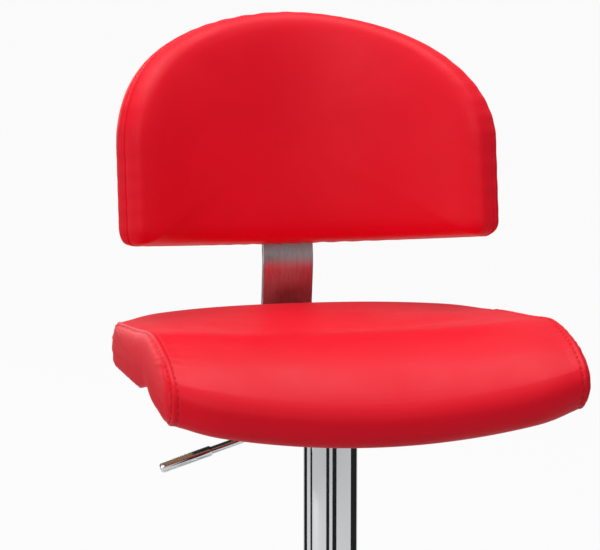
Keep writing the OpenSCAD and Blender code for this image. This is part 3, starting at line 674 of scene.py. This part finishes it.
def stitches(name, ring, up):
    """Short threads laid end to end along a ring, left out where the board hides them."""
    length, radius, sink = 4.4 * MM, 0.42 * MM, 0.1 * MM
    arc, total = ring_arc(ring)
    count = int(total / STITCH_PITCH)
    u = np.linspace(0, 2 * math.pi, 8, endpoint=False)
    parts = []
    for k in range(count):
        along = (k + 0.5) / count * total
        a, b = along_ring(ring, np.array([(along + e * length / 2) % total for e in (-1, 1)]) / total)
        n = up[int(np.searchsorted(arc, along)) % len(ring)]
        middle = (a + b) / 2
        if middle[2] < WRAP_Z and middle[1] > -0.13:
            continue
        t = (b - a) / np.linalg.norm(b - a)
        side = np.cross(t, n)
        rings = []
        for f in (-1, -0.86, -0.5, 0, 0.5, 0.86, 1):
            r = radius * math.sqrt(max(1 - f * f, 0.03))
            rise = radius * 0.6 * (1 - f * f) - sink - radius * 0.5 * abs(f) ** 3
            centre = middle + t * f * length / 2 + n * rise
            rings.append(centre + r * (np.cos(u)[:, None] * side + np.sin(u)[:, None] * n))
        parts.append(closed_skin(np.array(rings)))
    add_object(name, *join(*parts), "seam_thread", "seat", slot="red_vinyl")


def panel(name, grid, stands_for, flip, tip=None, around=True):
    """A vinyl panel: a grid of rings, with a fan over its closed end, thickened inwards."""
    m, n, _ = grid.shape
    verts = grid.reshape(-1, 3)
    faces = [tuple(f) for f in skin_faces(m, n, around=around)]
    if tip is not None:
        verts = np.concatenate([verts, grid[tip].mean(0, keepdims=True)])
        edge = (m - 1) * n if tip else 0
        fan = [(m * n, edge + (j + 1) % n, edge + j) for j in range(n)]
        faces += [f[::-1] for f in fan] if tip else fan
    if flip:
        faces = [f[::-1] for f in faces]
    obj = add_object(name, verts, faces, "red_vinyl", "seat")
    shell = obj.modifiers.new("thickness", "SOLIDIFY")
    shell.thickness = VINYL
    shell.offset = -1.0
    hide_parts(stands_for)


OPEN_FROM, OPEN_TO = 310, 370     # points of each ring between the cover's cut edges, under the board


def build_seat():
    grid, normals, stations = seat_cushion()
    left = int(np.argmin(np.abs(stations + 1)))
    right = int(np.argmin(np.abs(stations - 1)))
    verts, faces = closed_skin(grid)
    flip = faces_outward(verts, faces) is not faces
    order = np.concatenate([np.arange(OPEN_TO, grid.shape[1]), np.arange(0, OPEN_FROM + 1)])
    panel("seat_cover_vinyl", grid[left:right + 1][:, order], "seat_cover", flip, around=False)
    panel("seat_side_vinyl_left", grid[:left + 1], "seat_side_panel_left", flip, tip=0)
    panel("seat_side_vinyl_right", grid[right:], "seat_side_panel_right", flip, tip=-1)
    for name, seam in (("left", left), ("right", right)):
        wanted = math.copysign(1 - TOPSTITCH / SEAM_X, stations[seam])
        second = int(np.argmin(np.abs(stations - wanted)))
        stitches(f"seat_seam_stitches_{name}", grid[seam], normals[seam])
        stitches(f"seat_topstitches_{name}", grid[second], normals[second])
    edge_staples(grid, normals, stations)
    rows = [i for i in range(left, right, 4) if abs(stations[i]) < 0.98]
    seat_foam((grid - normals * FOAM_GAP)[rows][:, ::5])


def seat_foam(inside):
    """The foam inside the main panel, with slightly domed ends, lying on the board."""
    ends = []
    for ring, side in ((inside[0], -1), (inside[-1], 1)):
        middle = np.array([0, *dome_centre(ring[:, 1:])])
        caps = [(middle + (ring - middle) * k) * [0, 1, 1] + [side * (SEAM_X - d * MM), 0, 0]
                for k, d in ((0.3, 0), (0.8, 1.5), (0.97, 3.5))]
        ends.append(caps if side < 0 else caps[::-1])
    inside = np.concatenate([ends[0], inside, ends[1]])
    on_board = (np.abs(inside[..., 0]) < 0.19) & (inside[..., 1] > -0.127) & (inside[..., 1] < 0.146)
    board_top = UNDER + 12.8 * MM
    inside[..., 2] = np.where(on_board & (inside[..., 2] < board_top), board_top, inside[..., 2])
    solid("seat_foam_core", closed_skin(inside), "foam", "seat", "seat_foam")


def staple(middle, along, out):
    """Verts and faces of one staple's crown, 10 mm along and standing slightly proud."""
    legs = [-5.0, -4.8, -4.3, 4.3, 4.8, 5.0]
    rise = [-0.6, 0.1, 0.35, 0.35, 0.1, -0.6]
    return tube_along([middle + along * a * MM + out * r * MM for a, r in zip(legs, rise)], 0.35 * MM, 6)


def edge_staples(grid, normals, stations):
    """Two rows of staples that hold the cover's cut edges to the board."""
    parts = []
    for column in (OPEN_TO + 8, OPEN_FROM - 7):
        for x in np.arange(-150, 151, 25) * MM:
            row = int(np.argmin(np.abs(stations - x / SEAM_X)))
            parts.append(staple(grid[row, column], np.array([1.0, 0, 0]), normals[row, column]))
    add_object("cover_staples", *join(*parts), "zinc_steel", "seat")


def build_dust_cloth():
    """Non-woven cloth stapled under the board, a little rippled between its staples."""
    half_x, low, high, thick = 140 * MM, -58 * MM, 95 * MM, 0.8 * MM
    cut = rounded([(-half_x, low), (half_x, low), (half_x, high), (-half_x, high)], 20 * MM, 6)
    outline = along_ring(cut, np.linspace(0, 1, 180, endpoint=False))
    middle = np.array([0, (low + high) / 2])
    rings = []
    for scale in np.linspace(0.02, 1, 26):
        xy = middle + (outline - middle) * scale
        x, y = xy.T
        ripple = 0.5 + 0.25 * np.sin(x * 210 + 3 * np.sin(y * 60)) + 0.25 * np.sin(y * 260 + 1)
        rings.append(np.column_stack([xy, UNDER - thick + 0.3 * MM * ripple * (1 - scale ** 8)]))
    top = [np.column_stack([middle + (outline - middle) * scale, np.full(len(outline), UNDER)])
           for scale in (1, 0.7, 0.4, 0.02)]
    cloth = solid("seat_dust_cloth", closed_skin(np.array(rings + top)), "dust_cloth", "seat", "seat_dust_cover")
    parts = [staple(np.array([side * 133 * MM, y, UNDER - thick]), np.array([0, 1.0, 0]), np.array([0, 0, -1.0]))
             for side in (-1, 1) for y in np.arange(-36, 80, 27) * MM]
    add_object("dust_cloth_staples", *join(*parts), "zinc_steel", "seat")


# --- backrest
BACK_Z = 505.6 * MM
BACK_H = 223 * MM
BACK_W = 405 * MM
BACK_R = 206 * MM
BACK_HALF = 22 * MM
BACK_Y = 150 * MM
RECLINE = math.radians(8)
BACK_SWELL = 2.5 * MM
BACK_CENTRE = np.array([0, BACK_H * 0.45])
# thickness profile from the middle of the front to the middle of the rear: (scale, share of half thickness)
BACK_CURVE = np.array([(0.02, -1), (0.25, -1), (0.5, -0.985), (0.7, -0.94), (0.85, -0.84), (0.94, -0.66),
                       (0.985, -0.4), (1, -0.05), (1, 0.4), (0.99, 0.68), (0.965, 0.87), (0.92, 0.97),
                       (0.8, 1), (0.5, 1), (0.25, 1), (0.02, 1)])
BACK_SEAM = 8             # index of the seam between front cover and rear panel in that profile


def back_outline(count):
    """The D-shaped outline of the flat pattern, evenly spaced, anticlockwise from its right shoulder."""
    a, side, power, corner = BACK_W / 2, BACK_H * 0.42, 2 / 1.85, 14 * MM
    k = np.radians(np.arange(0, 181, 1.0))
    c, s = np.cos(k), np.sin(k)
    arch = np.stack([a * np.sign(c) * np.abs(c) ** power, side + (BACK_H - side) * np.abs(s) ** power], 1)
    q = np.radians(np.arange(0, 91, 10.0))
    left = np.stack([corner - a - corner * np.cos(q), corner - corner * np.sin(q)], 1)
    right = left[::-1] * (-1, 1)
    loop = np.concatenate([arch, left, right])
    return along_ring(loop, np.arange(count) / count)


def wrap_back(u, v, w):
    """A point of the flat pattern wrapped round the sitter and leaned back."""
    turn = u / BACK_R
    x = (BACK_R + w) * np.sin(turn)
    y = (BACK_R + w) * np.cos(turn) - BACK_R
    return np.stack(np.broadcast_arrays(x, BACK_Y + y * math.cos(RECLINE) + v * math.sin(RECLINE),
                                        BACK_Z + v * math.cos(RECLINE) - y * math.sin(RECLINE)), -1)


def back_grid(curve, count):
    """Rings of the backrest from the middle of its front to the middle of its rear."""
    outline = back_outline(count)
    rings = []
    for scale, share in curve:
        p = BACK_CENTRE + (outline - BACK_CENTRE) * scale
        rings.append(wrap_back(p[:, 0], p[:, 1], share * BACK_HALF))
    return np.array(rings)


def back_path():
    """Share of the way from the middle of the front to the seam at each point of the thickness profile."""
    steps = np.hypot(np.diff(BACK_CURVE[:, 0]) * 0.15, np.diff(BACK_CURVE[:, 1]) * BACK_HALF)
    way = np.concatenate([[0], np.cumsum(steps)])
    return way / way[BACK_SEAM]


def square_point(turn):
    """Point of the unit square's edge, `turn` of the way round from the middle of its lower side."""
    q = (np.asarray(turn) % 1.0) * 8
    corners = np.array([(0, -1), (1, -1), (1, 1), (-1, 1), (-1, -1), (0, -1)], float)
    at = np.array([0, 1, 3, 5, 7, 8], float)
    return np.stack([np.interp(q, at, corners[:, 0]), np.interp(q, at, corners[:, 1])], -1)


def back_swelling(count, where):
    """How far the front swells, from a cloth simulation on an even square mesh of it."""
    m, path = 31, back_path()
    outline = back_outline(count)
    start = int(np.argmin(np.abs(outline[:, 0]) + 9 * (outline[:, 1] > 0.01)))
    g = np.linspace(-1, 1, m)
    a, b = np.meshgrid(g, g, indexing="ij")
    rho = np.maximum(np.abs(a), np.abs(b))
    turns = np.arange(4001) / 4000
    edge = square_point(turns)
    bearing = np.unwrap(np.arctan2(edge[:, 1], edge[:, 0]))
    angle = np.arctan2(b, a)
    angle = np.where(angle < bearing[0], angle + 2 * math.pi, angle)
    turn = np.interp(angle, bearing, turns)
    looped = np.concatenate([np.roll(outline, -start, 0), outline[start:start + 1]])
    at = np.linspace(0, 1, count + 1)
    rim = np.stack([np.interp(turn, at, looped[:, i]) for i in range(2)], -1)
    profile = np.stack([np.interp(rho, path[:BACK_SEAM + 1], BACK_CURVE[:BACK_SEAM + 1, i]) for i in range(2)], -1)
    flat = BACK_CENTRE + (rim - BACK_CENTRE) * (profile[..., :1] * np.minimum(1, rho / 0.02)[..., None])
    front = wrap_back(flat[..., 0], flat[..., 1], profile[..., 1] * BACK_HALF)
    behind = wrap_back(flat[..., 0], flat[..., 1], np.full(rho.shape, 0.4 * BACK_HALF))
    outward = np.cross(np.gradient(front, axis=0), np.gradient(front, axis=1))
    outward /= np.linalg.norm(outward, axis=2, keepdims=True)
    if outward[m // 2, m // 2, 1] > 0:
        outward = -outward
    cells = [tuple(f) for f in skin_faces(m, m, around=False)]
    inner = (rho < 0.999).ravel()
    number = np.where(inner, m * m + np.cumsum(inner) - 1, np.arange(m * m))
    verts = np.concatenate([front.reshape(-1, 3), behind.reshape(-1, 3)[inner]])
    faces = cells + [tuple(int(number[i]) for i in f)[::-1] for f in cells]
    free = np.clip((1 - rho) / 0.18, 0, 1)
    free = free * free * (3 - 2 * free)
    pins = np.concatenate([1 - free.ravel(), np.ones(int(inner.sum()))])
    moved = simulate(verts, faces_outward(verts, faces), pins)[:m * m].reshape(m, m, 3)
    swell = swelling(moved, outward, free, BACK_SWELL, 10, False)
    share = np.interp(where, np.arange(len(path)), path)
    spot = square_point((np.arange(count) - start) / count)
    out = np.zeros((len(where), count))
    for i, r in enumerate(share):
        if r < 1:
            x, y = ((spot * r + 1) / 2 * (m - 1)).T
            i0, j0 = np.minimum(x.astype(int), m - 2), np.minimum(y.astype(int), m - 2)
            fx, fy = x - i0, y - j0
            out[i] = ((swell[i0, j0] * (1 - fx) + swell[i0 + 1, j0] * fx) * (1 - fy)
                      + (swell[i0, j0 + 1] * (1 - fx) + swell[i0 + 1, j0 + 1] * fx) * fy)
    return out


def build_back():
    steps, count = 10, 440
    curve = spline_points(BACK_CURVE, steps, closed=False)
    where = np.linspace(0, len(BACK_CURVE) - 1, len(curve))
    grid = back_grid(curve, count)
    normals = grid_normals(grid)
    if normals[2 * steps, 0, 1] > 0:
        normals = -normals
    seam = BACK_SEAM * steps
    grid = grid + normals * back_swelling(count, where)[:, :, None]
    arc, _ = ring_arc(grid[seam])
    for i, w in enumerate(where):
        d = abs(w - BACK_SEAM) * 9 * MM
        pucker = np.sin(arc / (19 * MM) * 2 * math.pi + 1.5 * np.sin(arc * 31)) * (0.5 + 0.5 * np.sin(arc * 23 + 1))
        grid[i] += normals[i] * (-1.5 * MM * bell(d, 1.6 * MM)
                                 + 0.35 * MM * pucker * math.exp(-d / (12 * MM)))[:, None]
    verts, faces = closed_skin(grid)
    flip = faces_outward(verts, faces) is not faces
    panel("back_cover_vinyl", grid[:seam + 1], "back_cover", flip, tip=0)
    panel("back_rear_vinyl", grid[seam:], "back_rear_panel", flip, tip=-1)
    front = (grid - normals * FOAM_GAP)[:seam + 1:4, ::4]
    outline = back_outline(count)[::4]
    board = 11.6 * MM         # where the foam ends on the curved plywood
    flat = [wrap_back(*(BACK_CENTRE + (outline - BACK_CENTRE) * scale).T, board)
            for scale in (0.97, 0.8, 0.6, 0.4, 0.2, 0.02)]
    foam_core = solid("back_foam_core", closed_skin(np.concatenate([front, flat])), "foam", "seat", "back_foam")
    welt = closed_tube(grid[seam] + normals[seam] * 0.3 * MM, 1.7 * MM)
    add_object("back_welt", *welt, "red_vinyl", "seat")


def closed_tube(path, radius, sides=10):
    """Verts and faces of a round cord along a closed path."""
    path = np.asarray(path, float)
    tangent = np.roll(path, -1, 0) - np.roll(path, 1, 0)
    tangent /= np.linalg.norm(tangent, axis=1)[:, None]
    out = path - path.mean(0)
    side = out - tangent * np.sum(out * tangent, 1, keepdims=True)
    side /= np.linalg.norm(side, axis=1)[:, None]
    up = np.cross(tangent, side)
    u = np.linspace(0, 2 * math.pi, sides, endpoint=False)
    c, s = np.cos(u)[None, :, None], np.sin(u)[None, :, None]
    verts = (path[:, None] + radius * (c * side[:, None] + s * up[:, None])).reshape(-1, 3)
    return verts, faces_outward(verts, looped_faces(len(path), sides))


build_seat()
build_dust_cloth()
build_back()


# --- back bar
BAR_HALF_W = 25 * MM
BAR_T = 6 * MM
BAR_LEAN = math.radians(8)


def bar_line():
    """Middle line (y, z) of the bar: under the seat, round the bend, leaning forward, then up the backrest."""
    bend_r, kink_r = 28 * MM, 60 * MM
    bar_z = UNDER - BAR_T / 2
    bend = np.array([152 * MM, bar_z + bend_r])
    top_v = (602 * MM - BACK_Z) / math.cos(RECLINE)
    low, high = (wrap_back(0.0, v, BACK_HALF + BAR_T / 2)[1:] for v in (0.0, top_v))
    c, s = math.cos(BAR_LEAN), math.sin(BAR_LEAN)
    end = bend + bend_r * np.array([c, s])
    lean, rec = math.tan(BAR_LEAN), math.tan(RECLINE)
    kink_z = (end[0] - low[0] + end[1] * lean + low[1] * rec) / (lean + rec)
    kink = np.array([end[0] - (kink_z - end[1]) * lean, kink_z])
    start = kink - kink_r * math.tan((BAR_LEAN + RECLINE) / 2) * np.array([-s, c])
    centre = start + kink_r * np.array([c, s])
    turn = np.radians(np.linspace(-90, math.degrees(BAR_LEAN), 25))
    back = math.pi + BAR_LEAN - np.linspace(0, 1, 13) * (BAR_LEAN + RECLINE)
    return np.concatenate([[[96 * MM, bar_z]],
                           bend + bend_r * np.stack([np.cos(turn), np.sin(turn)], 1),
                           centre + kink_r * np.stack([np.cos(back), np.sin(back)], 1), [high]])


def build_bar():
    line = bar_line()
    way = np.gradient(line, axis=0)
    way /= np.linalg.norm(way, axis=1)[:, None]
    across = np.stack([-way[:, 1], way[:, 0]], 1)
    corners = [(x * BAR_HALF_W, w * BAR_T / 2) for x, w in ((-1, -1), (1, -1), (1, 1), (-1, 1))]
    section = rounded(corners, 1.4 * MM)
    rings = [[(x, p[0] + a[0] * w, p[1] + a[1] * w) for x, w in section] for p, a in zip(line, across)]
    solid("back_bar_steel", closed_skin(np.array(rings)), "satin_steel", "seat", "back_bar", 35)


# --- lever
LEVER_PATH = np.array([(7, 382), (-62, 382), (-78, 345.5), (-158, 320.6)]) * MM
LEVER_R = 3.5 * MM
SLEEVE_R = 4.8 * MM
SLEEVE_L = 48 * MM


def build_lever():
    line = rounded(LEVER_PATH, 9 * MM, 12, closed=False)
    rod = tube_along([(x, 0, z) for x, z in line], LEVER_R, 40)
    solid("lever_rod_chrome", rod, "chrome", "lever", "lever_rod", 35)
    a, b = LEVER_PATH[2:]
    axis = (b - a) / np.linalg.norm(b - a)
    start = b - axis * SLEEVE_L
    r, l, e = SLEEVE_R, SLEEVE_L, 0.0005 * MM
    profile = [(e, 0), (LEVER_R, 0), (r - 1.0 * MM, 0), (r, 1.6 * MM), (r, l), (r - 1.7 * MM, l + 2 * MM),
               (e, l + 2 * MM)]
    turn = Vector((axis[0], 0, axis[1])).to_track_quat("Z", "Y").to_matrix().to_4x4()
    sleeve = place(lathe_parts(rounded(profile, 0.25 * MM, 2), 48),
                   Matrix.Translation((start[0], 0, start[1])) @ turn)
    solid("lever_sleeve_chrome", sleeve, "chrome", "lever", "lever_grip", 35)


# --- column, base and casters
TUBE_R = 25 * MM
LEG_COUNT = 5
STEM_CIRCLE_R = 272 * MM


def build_column():
    bore, low, high = 23 * MM, 62 * MM, 338 * MM
    profile = rounded([(bore, low), (TUBE_R, low), (TUBE_R, high), (bore, high)], 0.6 * MM)
    solid("column_tube_chrome", lathe_parts(profile, 160), "chrome", "base", "column_tube", 35)


def leg_parts():
    """One leg along +X: a rounded section that narrows and falls towards a round nose."""
    turn = np.linspace(0, 2 * math.pi, 48, endpoint=False)
    reach = np.concatenate([np.linspace(24, 272, 34), 272 + 16 * np.sin(np.linspace(0.12, 1.5, 12))]) * MM
    rings = []
    for r in reach:
        s = min(1.0, (r - 27 * MM) / (245 * MM))
        half_w = (18 * (1 - s) + 16 * s) * MM * (1 - 0.08 * math.sin(math.pi * max(s, 0)))
        top = (86 + 30 * max(0, 1 - s) ** 1.25) * MM
        low = (62.6 + 7.4 * max(0, 1 - s)) * MM
        past = max(0.0, r - STEM_CIRCLE_R) / (16 * MM)
        half_w = half_w * math.sqrt(max(0.0, 1 - past * past))
        half_h = (top - low) / 2 * (1 - 0.45 * past ** 3)
        power = 2 / 3.4
        c, n = np.cos(turn), np.sin(turn)
        rings.append(np.stack([np.full(48, r), half_w * np.sign(c) * np.abs(c) ** power,
                               (top + low) / 2 + half_h * np.sign(n) * np.abs(n) ** power], 1))
    verts, faces = closed_skin(np.array(rings))
    return verts, faces_outward(verts, faces)


def build_base():
    hub = rounded([(TUBE_R + 0.02 * MM, 60 * MM), (33 * MM, 60 * MM), (33 * MM, 113 * MM), (28.5 * MM, 124 * MM),
                   (TUBE_R + 0.02 * MM, 124 * MM)], 3 * MM, 6)
    verts, faces = lathe_parts(hub, 128)
    parts = [(verts, faces_outward(verts, faces))]
    for i in range(LEG_COUNT):
        parts.append(place(leg_parts(), Matrix.Rotation(math.radians(-90 + i * 72), 4, "Z")))
    solid("base_star_chrome", join(*parts), "chrome", "base", "base_star", 50)


def build_wheels():
    """Hub and tread of each wheel, from (radius, distance from the caster's middle) in millimetres."""
    hub = [(3.1, 8), (21, 8), (21, 24), (17, 24), (15.5, 22.5), (9, 22.5), (8, 24), (0.001, 24), (0.001, 22.4),
           (3.1, 22.4)]
    tread = [(21, 8), (23.5, 8), (25, 10), (25, 20.5), (23.2, 24), (21, 24)]
    for joint in frame["joints"]:
        if not joint["name"].endswith("_roll"):
            continue
        body = joint["child"]
        side = -1 if body.endswith("left") else 1
        at = Matrix.Translation(joint["pos_m"]) @ Matrix.Rotation(math.radians(90), 4, "Y")
        caster, hand = body.rsplit("_", 1)
        for kind, points, soft, material in (("hub", hub, 0.5, "black_nylon"), ("tread", tread, 1.0, "rubber")):
            profile = rounded([(r * MM, side * h * MM) for r, h in points], soft * MM, 3)
            parts = place(lathe_parts(profile, 72), at)
            stands_for = f"{caster}_wheel_{hand}" if kind == "hub" else None
            solid(f"{body}_{kind}", parts, material, body, stands_for, 40)


build_bar()
build_lever()
build_column()
build_base()
build_wheels()

# --- finish of the CAD nodes that stay
SLOT_OF = {row["node"]: row["material_slot"] for row in frame["record"]["subparts"]}


def paint_cad_nodes():
    """Every CAD node that stays gets the material of its slot."""
    for name, obj in nodes.items():
        obj.data.materials.clear()
        obj.data.materials.append(MATERIALS[SLOT_OF[name]])


def soften_edges():
    """Moulded and pressed parts get soft edges."""
    for name, obj in nodes.items():
        if name.endswith("_hood") or name == "seat_plate":
            bevel = obj.modifiers.new("soft_edges", "BEVEL")
            bevel.width = 0.6 * MM
            bevel.segments = 2
            bevel.angle_limit = math.radians(45)


paint_cad_nodes()
soften_edges()


# --- stage and light
def pale_floor():
    s = Surface("pale_floor", base_color=(0.42, 0.42, 0.42), roughness=0.7)
    s.colour(s.noise(3.0), (0.40, 0.40, 0.405), (0.44, 0.44, 0.44))
    glow = s.node("ShaderNodeEmission", Color=(1, 1, 1, 1), Strength=1.0)
    seen = s.tree.nodes.new("ShaderNodeLightPath")
    mirrored = s.node("ShaderNodeMath", i0=seen.outputs["Is Glossy Ray"], i1=0.45)
    mirrored.operation = "MULTIPLY"
    share = s.node("ShaderNodeMath", i0=seen.outputs["Is Camera Ray"], i1=0.95, i2=mirrored.outputs[0])
    share.operation = "MULTIPLY_ADD"
    mix = s.tree.nodes.new("ShaderNodeMixShader")
    s.link(share.outputs[0], mix.inputs[0])
    s.link(s.bsdf.outputs[0], mix.inputs[1])
    s.link(glow.outputs[0], mix.inputs[2])
    s.link(mix.outputs[0], s.tree.nodes["Material Output"].inputs["Surface"])
    return s.mat


def make_stage():
    half = 30.0
    mesh = bpy.data.meshes.new("floor")
    corners = [(-half, -half, 0), (half, -half, 0), (half, half, 0), (-half, half, 0)]
    mesh.from_pydata(corners, [], [(0, 1, 2, 3)])
    mesh.materials.append(pale_floor())
    new_object("floor", mesh)


def dark_cards():
    """Dark upright cards beside the set: only mirror-like surfaces see them."""
    card = Surface("dark_card", base_color=(0.01, 0.01, 0.01), roughness=1.0)
    card.colour(card.noise(4.0), (0.006, 0.006, 0.007), (0.012, 0.012, 0.013))
    radius, top = 0.85, 0.62
    verts, faces = [], []
    for low, high in ((-148, -116), (-93, -82), (-17, -4), (8.5, 26), (96, 150)):
        angles = np.radians(np.linspace(low, high, 8) - 90 - CAMERA_TURN)
        start = len(verts)
        for a in angles:
            verts += [(radius * math.cos(a), radius * math.sin(a), z) for z in (0.002, top)]
        faces += [(start + 2 * i, start + 2 * i + 2, start + 2 * i + 3, start + 2 * i + 1) for i in range(7)]
    mesh = bpy.data.meshes.new("dark_cards")
    mesh.from_pydata(verts, [], faces)
    mesh.materials.append(card.mat)
    cards = new_object("dark_cards", mesh)
    cards.visible_camera = cards.visible_diffuse = cards.visible_shadow = cards.visible_transmission = False


def softbox(name, place_at, aim, size, power):
    data = bpy.data.lights.new(name, "AREA")
    data.shape = "RECTANGLE"
    data.size, data.size_y = size
    data.energy = power
    light = new_object(name, data)
    light.location = place_at
    light.rotation_euler = (Vector(aim) - Vector(place_at)).to_track_quat("-Z", "Y").to_euler()


def make_light():
    world = bpy.data.worlds.new("studio")
    world.use_nodes = True
    world.node_tree.nodes["Background"].inputs[0].default_value = (1, 1, 1, 1)
    world.node_tree.nodes["Background"].inputs[1].default_value = 0.36
    bpy.context.scene.world = world
    softbox("top_light", (0.1, 0.2, 2.6), (0, 0, 0.4), (2.2, 1.6), 43)
    softbox("front_light", (-0.9, -2.6, 2.2), (0, 0, 0.5), (1.8, 1.4), 24)
    softbox("left_light", (-2.3, -0.5, 0.75), (0, 0, 0.42), (0.9, 0.9), 11)
    softbox("rear_light", (-1.0, 2.3, 1.0), (0, 0, 0.5), (1.8, 1.4), 17)
    bpy.context.scene.view_settings.view_transform = "Standard"


make_stage()
dark_cards()
make_light()
